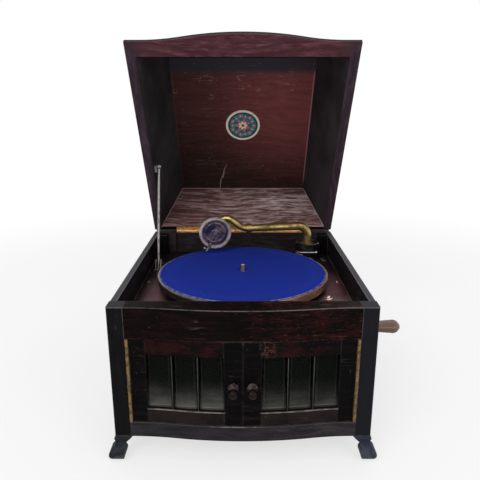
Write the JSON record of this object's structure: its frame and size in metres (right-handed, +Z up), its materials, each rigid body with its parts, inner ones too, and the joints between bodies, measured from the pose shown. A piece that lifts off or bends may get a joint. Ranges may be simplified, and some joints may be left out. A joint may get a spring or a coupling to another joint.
{
  "type": "tabletop gramophone",
  "caption": "Wooden table gramophone with a serpentine front, glazed doors over its horn, a tapered lid held by a stay, a turntable, a brass tonearm and a side crank.",
  "frame": {"origin": "centre of the whole object's bounding box, on the floor plane under the feet, with the lid open and the crank fitted", "axes": "+Z up, the doors face -Y, the crank is on +X"},
  "size_m": [0.4894, 0.578, 0.6424],
  "materials": {
    "dark_wood": "satin lacquer over dark stain",
    "inner_wood": "gloss lacquer over red stain",
    "horn_wood": "plain",
    "handle_wood": "turned and polished",
    "brass": "worn lacquered brass",
    "nickel": "worn nickel plate",
    "steel": "oiled steel",
    "motor_iron": "machined and painted grey",
    "platter_steel": "worn plating with some rust",
    "black_enamel": "gloss black",
    "blue_felt": "napped felt",
    "door_glass": "bevelled plate glass",
    "enamel_plate": "enamelled plate",
    "diaphragm_metal": "pressed thin sheet"
  },
  "bodies": {
    "cabinet": {"left_side_panel": "dark_wood", "right_side_panel": "dark_wood", "front_posts": "dark_wood", "rear_posts": "dark_wood", "top_front_rail": "dark_wood", "bottom_front_rail": "dark_wood", "back_panel": "dark_wood", "bottom_board": "inner_wood", "motor_board": "inner_wood", "board_cleats": "inner_wood", "front_feet": "dark_wood", "rear_feet": "dark_wood", "horn_sides": "horn_wood", "horn_roof": "horn_wood", "horn_floor": "horn_wood", "horn_throat": "black_enamel", "lid_hinge_lower_leaf": "brass", "door_hinge_post_leaves": "brass", "stay_guide": "nickel", "tonearm_base": "black_enamel", "needle_cup": "nickel", "brake_plate": "nickel", "speed_dial": "brass", "crank_escutcheon": "brass", "motor_top_plate": "motor_iron", "motor_bottom_plate": "motor_iron", "motor_bolts": "brass"},
    "lid": {"lid_front": "dark_wood", "lid_back": "inner_wood", "lid_left_side": "dark_wood", "lid_right_side": "dark_wood", "lid_top_panel": "inner_wood", "lid_badge": "enamel_plate", "lid_hinge_upper_leaf": "brass", "stay_lid_bracket": "nickel"},
    "stay": {"stay_rod": "nickel"},
    "left_door": {"left_door_frame": "dark_wood", "left_door_glass": "door_glass", "left_door_knob": "dark_wood", "left_door_hinge_leaf": "brass"},
    "right_door": {"right_door_frame": "dark_wood", "right_door_glass": "door_glass", "right_door_knob": "dark_wood", "right_door_hinge_leaf": "brass"},
    "turntable": {"platter": "platter_steel", "felt_mat": "blue_felt", "spindle": "steel"},
    "barrel": {"spring_barrel": "brass"},
    "governor_shaft": {"governor": "brass"},
    "winding_shaft": {"winding_arbor": "steel"},
    "crank": {"crank_shaft": "steel", "crank_arm": "steel"},
    "crank_grip": {"crank_handle": "handle_wood"},
    "arm": {"tonearm": "brass"},
    "sound_head": {"gooseneck": "brass", "sound_box": "nickel", "diaphragm": "diaphragm_metal", "stylus_bar": "nickel"},
    "brake": {"brake_lever": "nickel"},
    "speed_control": {"speed_knob": "nickel"}
  },
  "joints": [
    {"name": "lid_hinge", "type": "hinge", "parent": "cabinet", "child": "lid", "pos_m": [-0.0427, 0.1697, 0.2482], "axis": [1, 0, 0], "range_deg": [0, 60.5]},
    {"name": "stay_pivot", "type": "hinge", "parent": "lid", "child": "stay", "pos_m": [-0.2097, 0.102, 0.39832], "axis": [1, 0, 0], "range_deg": [-7.23, 0]},
    {"name": "left_door_hinge", "type": "hinge", "parent": "cabinet", "child": "left_door", "pos_m": [-0.209, -0.2542, 0.13], "axis": [0, 0, -1], "range_deg": [0, 105]},
    {"name": "right_door_hinge", "type": "hinge", "parent": "cabinet", "child": "right_door", "pos_m": [0.1236, -0.2542, 0.13], "axis": [0, 0, 1], "range_deg": [0, 105]},
    {"name": "turntable_spin", "type": "hinge", "parent": "cabinet", "child": "turntable", "pos_m": [-0.0427, -0.0398, 0.19], "axis": [0, 0, 1], "continuous": true},
    {"name": "barrel_spin", "type": "hinge", "parent": "cabinet", "child": "barrel", "pos_m": [-0.0024, 0.0112, 0.14], "axis": [0, 0, 1], "continuous": true},
    {"name": "governor_spin", "type": "hinge", "parent": "cabinet", "child": "governor_shaft", "pos_m": [-0.0787, -0.0398, 0.16], "axis": [0, 0, 1], "continuous": true},
    {"name": "crank_spin", "type": "hinge", "parent": "cabinet", "child": "crank", "pos_m": [0.1503, 0.0112, 0.172], "axis": [1, 0, 0], "continuous": true},
    {"name": "winding_spin", "type": "hinge", "parent": "cabinet", "child": "winding_shaft", "pos_m": [-0.0024, 0.0112, 0.15], "axis": [0, 0, 1], "continuous": true},
    {"name": "crank_handle_spin", "type": "hinge", "parent": "crank", "child": "crank_grip", "pos_m": [0.2043, -0.05474, 0.12496], "axis": [1, 0, 0], "continuous": true},
    {"name": "tonearm_swivel", "type": "hinge", "parent": "cabinet", "child": "arm", "pos_m": [0.0923, 0.1132, 0.23], "axis": [0, 0, 1], "range_deg": [-15, 25]},
    {"name": "gooseneck_tilt", "type": "hinge", "parent": "arm", "child": "sound_head", "pos_m": [-0.03296, 0.09224, 0.274], "axis": [-0.9863, -0.165, 0], "range_deg": [0, 100]},
    {"name": "brake_swing", "type": "hinge", "parent": "cabinet", "child": "brake", "pos_m": [0.0693, 0.0822, 0.216], "axis": [0, 0, 1], "range_deg": [-16, 0]},
    {"name": "speed_turn", "type": "hinge", "parent": "cabinet", "child": "speed_control", "pos_m": [0.0973, -0.1938, 0.206], "axis": [0, 0, 1], "range_deg": [-135, 135]}
  ],
  "couplings": [
    {"joint": "stay_pivot", "follows": "lid_hinge", "ratio": -0.1194},
    {"joint": "barrel_spin", "follows": "turntable_spin", "ratio": -0.3},
    {"joint": "governor_spin", "follows": "turntable_spin", "ratio": -3},
    {"joint": "winding_spin", "follows": "crank_spin", "ratio": 1}
  ]
}
